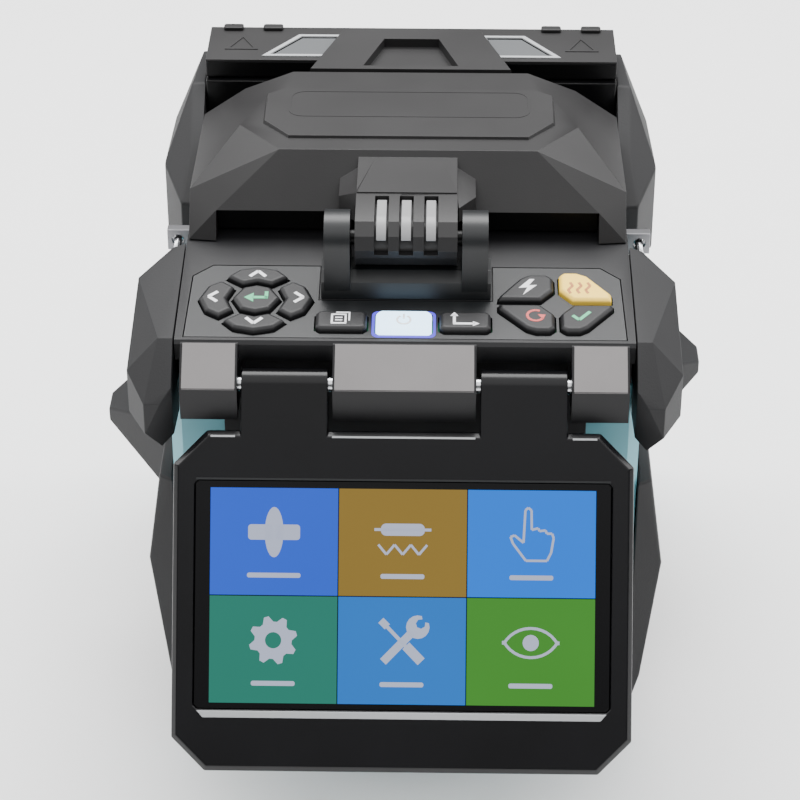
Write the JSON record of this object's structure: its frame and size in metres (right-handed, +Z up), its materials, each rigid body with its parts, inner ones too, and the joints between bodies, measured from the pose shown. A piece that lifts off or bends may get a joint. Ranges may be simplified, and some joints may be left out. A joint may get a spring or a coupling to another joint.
{
  "type": "optical fiber fusion splicer",
  "caption": "desktop optical fiber fusion splicer with tilting touch display, sloped key deck, flip-up wind cover, rear heater lid and rubber corner guards",
  "frame": {"origin": "centre of the bounding box in plan, on the plane the feet stand on", "axes": "+X to the right seen from the keypad side, +Y to the rear heater, +Z up"},
  "size_m": [0.1636, 0.1936, 0.1542],
  "materials": {
    "casing": "fine satin texture",
    "housing": "smooth satin, light teal",
    "bumper": "matte rubber",
    "key": "matte silicone key caps",
    "display": "semi gloss black",
    "glass": "polished screen",
    "steel": "fine brushed",
    "board": "solder mask",
    "lens": "clear smoked"
  },
  "bodies": {
    "body": {"upper_casing": "casing", "hinge_block": "casing", "heater_housing": "casing", "base_cover": "casing", "lower_housing": "housing", "front_bumper_left": "bumper", "front_bumper_right": "bumper", "rear_bumper_left": "bumper", "rear_bumper_right": "bumper", "side_guard_left": "bumper", "side_guard_right": "bumper", "foot_front_left": "bumper", "foot_front_right": "bumper", "foot_rear_left": "bumper", "foot_rear_right": "bumper", "keypad_plate": "display", "display_pin_left": "steel", "display_pin_right": "steel", "wind_cover_pin": "steel", "chamber_frame": "steel", "v_groove_left": "steel", "v_groove_right": "steel", "electrode_front": "steel", "electrode_rear": "steel", "heater_trough": "steel", "strap_lug_left": "steel", "strap_lug_right": "steel", "keypad_board": "board", "main_board": "board", "objective_lens": "lens"},
    "display": {"display_bezel": "display", "display_back_cover": "display", "lcd_panel": "glass", "touch_glass": "glass"},
    "wind_cover_body": {"wind_cover": "casing", "wind_cover_liner": "bumper"},
    "heater_lid_body": {"heater_lid": "casing", "heater_window_left": "lens", "heater_window_right": "lens"},
    "clamp_left": {"fiber_clamp_left": "casing"},
    "clamp_right": {"fiber_clamp_right": "casing"},
    "ring_left": {"strap_ring_left": "steel"},
    "ring_right": {"strap_ring_right": "steel"},
    "battery": {"battery_pack": "casing"},
    "latch": {"battery_latch": "bumper"},
    "port_door": {"port_cover": "bumper"},
    "press_enter": {"key_enter": "key"},
    "press_up": {"key_up": "key"},
    "press_down": {"key_down": "key"},
    "press_left": {"key_left": "key"},
    "press_right": {"key_right": "key"},
    "press_page": {"key_page": "key"},
    "press_power": {"key_power": "key"},
    "press_xy": {"key_xy": "key"},
    "press_arc": {"key_arc": "key"},
    "press_heat": {"key_heat": "key"},
    "press_reset": {"key_reset": "key"},
    "press_set": {"key_set": "key"}
  },
  "joints": [
    {"name": "display_tilt", "type": "hinge", "parent": "body", "child": "display", "pos_m": [0, -0.04212, 0.118], "axis": [1, 0, 0], "range_deg": [-57, 33]},
    {"name": "wind_cover_open", "type": "hinge", "parent": "body", "child": "wind_cover_body", "pos_m": [0, -0.01412, 0.144], "axis": [1, 0, 0], "range_deg": [0, 95]},
    {"name": "heater_lid_open", "type": "hinge", "parent": "body", "child": "heater_lid_body", "pos_m": [0, 0.09238, 0.147], "axis": [-1, 0, 0], "range_deg": [0, 85]},
    {"name": "clamp_left_open", "type": "hinge", "parent": "body", "child": "clamp_left", "pos_m": [-0.036, 0.04038, 0.132], "axis": [-1, 0, 0], "range_deg": [0, 80]},
    {"name": "clamp_right_open", "type": "hinge", "parent": "body", "child": "clamp_right", "pos_m": [0.036, 0.04038, 0.132], "axis": [-1, 0, 0], "range_deg": [0, 80]},
    {"name": "ring_left_swing", "type": "hinge", "parent": "body", "child": "ring_left", "pos_m": [-0.0616, 0.02388, 0.122], "axis": [0, 1, 0], "range_deg": [0, 80]},
    {"name": "ring_right_swing", "type": "hinge", "parent": "body", "child": "ring_right", "pos_m": [0.0616, 0.02388, 0.122], "axis": [0, -1, 0], "range_deg": [0, 80]},
    {"name": "battery_slide", "type": "slide", "parent": "body", "child": "battery", "axis": [0, 1, 0], "range_m": [0, 0.075]},
    {"name": "battery_latch_slide", "type": "slide", "parent": "body", "child": "latch", "axis": [1, 0, 0], "range_m": [0, 0.004]},
    {"name": "port_cover_open", "type": "hinge", "parent": "body", "child": "port_door", "pos_m": [0.041, 0.09588, 0.068], "axis": [0, 0, 1], "range_deg": [0, 95]},
    {"name": "key_enter_press", "type": "slide", "parent": "body", "child": "press_enter", "axis": [0, 0.1219, -0.9925], "range_m": [0, 0.0007], "stiffness_N_per_m": 600},
    {"name": "key_up_press", "type": "slide", "parent": "body", "child": "press_up", "axis": [0, 0.1219, -0.9925], "range_m": [0, 0.0007], "stiffness_N_per_m": 600},
    {"name": "key_down_press", "type": "slide", "parent": "body", "child": "press_down", "axis": [0, 0.1219, -0.9925], "range_m": [0, 0.0007], "stiffness_N_per_m": 600},
    {"name": "key_left_press", "type": "slide", "parent": "body", "child": "press_left", "axis": [0, 0.1219, -0.9925], "range_m": [0, 0.0007], "stiffness_N_per_m": 600},
    {"name": "key_right_press", "type": "slide", "parent": "body", "child": "press_right", "axis": [0, 0.1219, -0.9925], "range_m": [0, 0.0007], "stiffness_N_per_m": 600},
    {"name": "key_page_press", "type": "slide", "parent": "body", "child": "press_page", "axis": [0, 0.1219, -0.9925], "range_m": [0, 0.0007], "stiffness_N_per_m": 600},
    {"name": "key_power_press", "type": "slide", "parent": "body", "child": "press_power", "axis": [0, 0.1219, -0.9925], "range_m": [0, 0.0007], "stiffness_N_per_m": 600},
    {"name": "key_xy_press", "type": "slide", "parent": "body", "child": "press_xy", "axis": [0, 0.1219, -0.9925], "range_m": [0, 0.0007], "stiffness_N_per_m": 600},
    {"name": "key_arc_press", "type": "slide", "parent": "body", "child": "press_arc", "axis": [0, 0.1219, -0.9925], "range_m": [0, 0.0007], "stiffness_N_per_m": 600},
    {"name": "key_heat_press", "type": "slide", "parent": "body", "child": "press_heat", "axis": [0, 0.1219, -0.9925], "range_m": [0, 0.0007], "stiffness_N_per_m": 600},
    {"name": "key_reset_press", "type": "slide", "parent": "body", "child": "press_reset", "axis": [0, 0.1219, -0.9925], "range_m": [0, 0.0007], "stiffness_N_per_m": 600},
    {"name": "key_set_press", "type": "slide", "parent": "body", "child": "press_set", "axis": [0, 0.1219, -0.9925], "range_m": [0, 0.0007], "stiffness_N_per_m": 600}
  ]
}
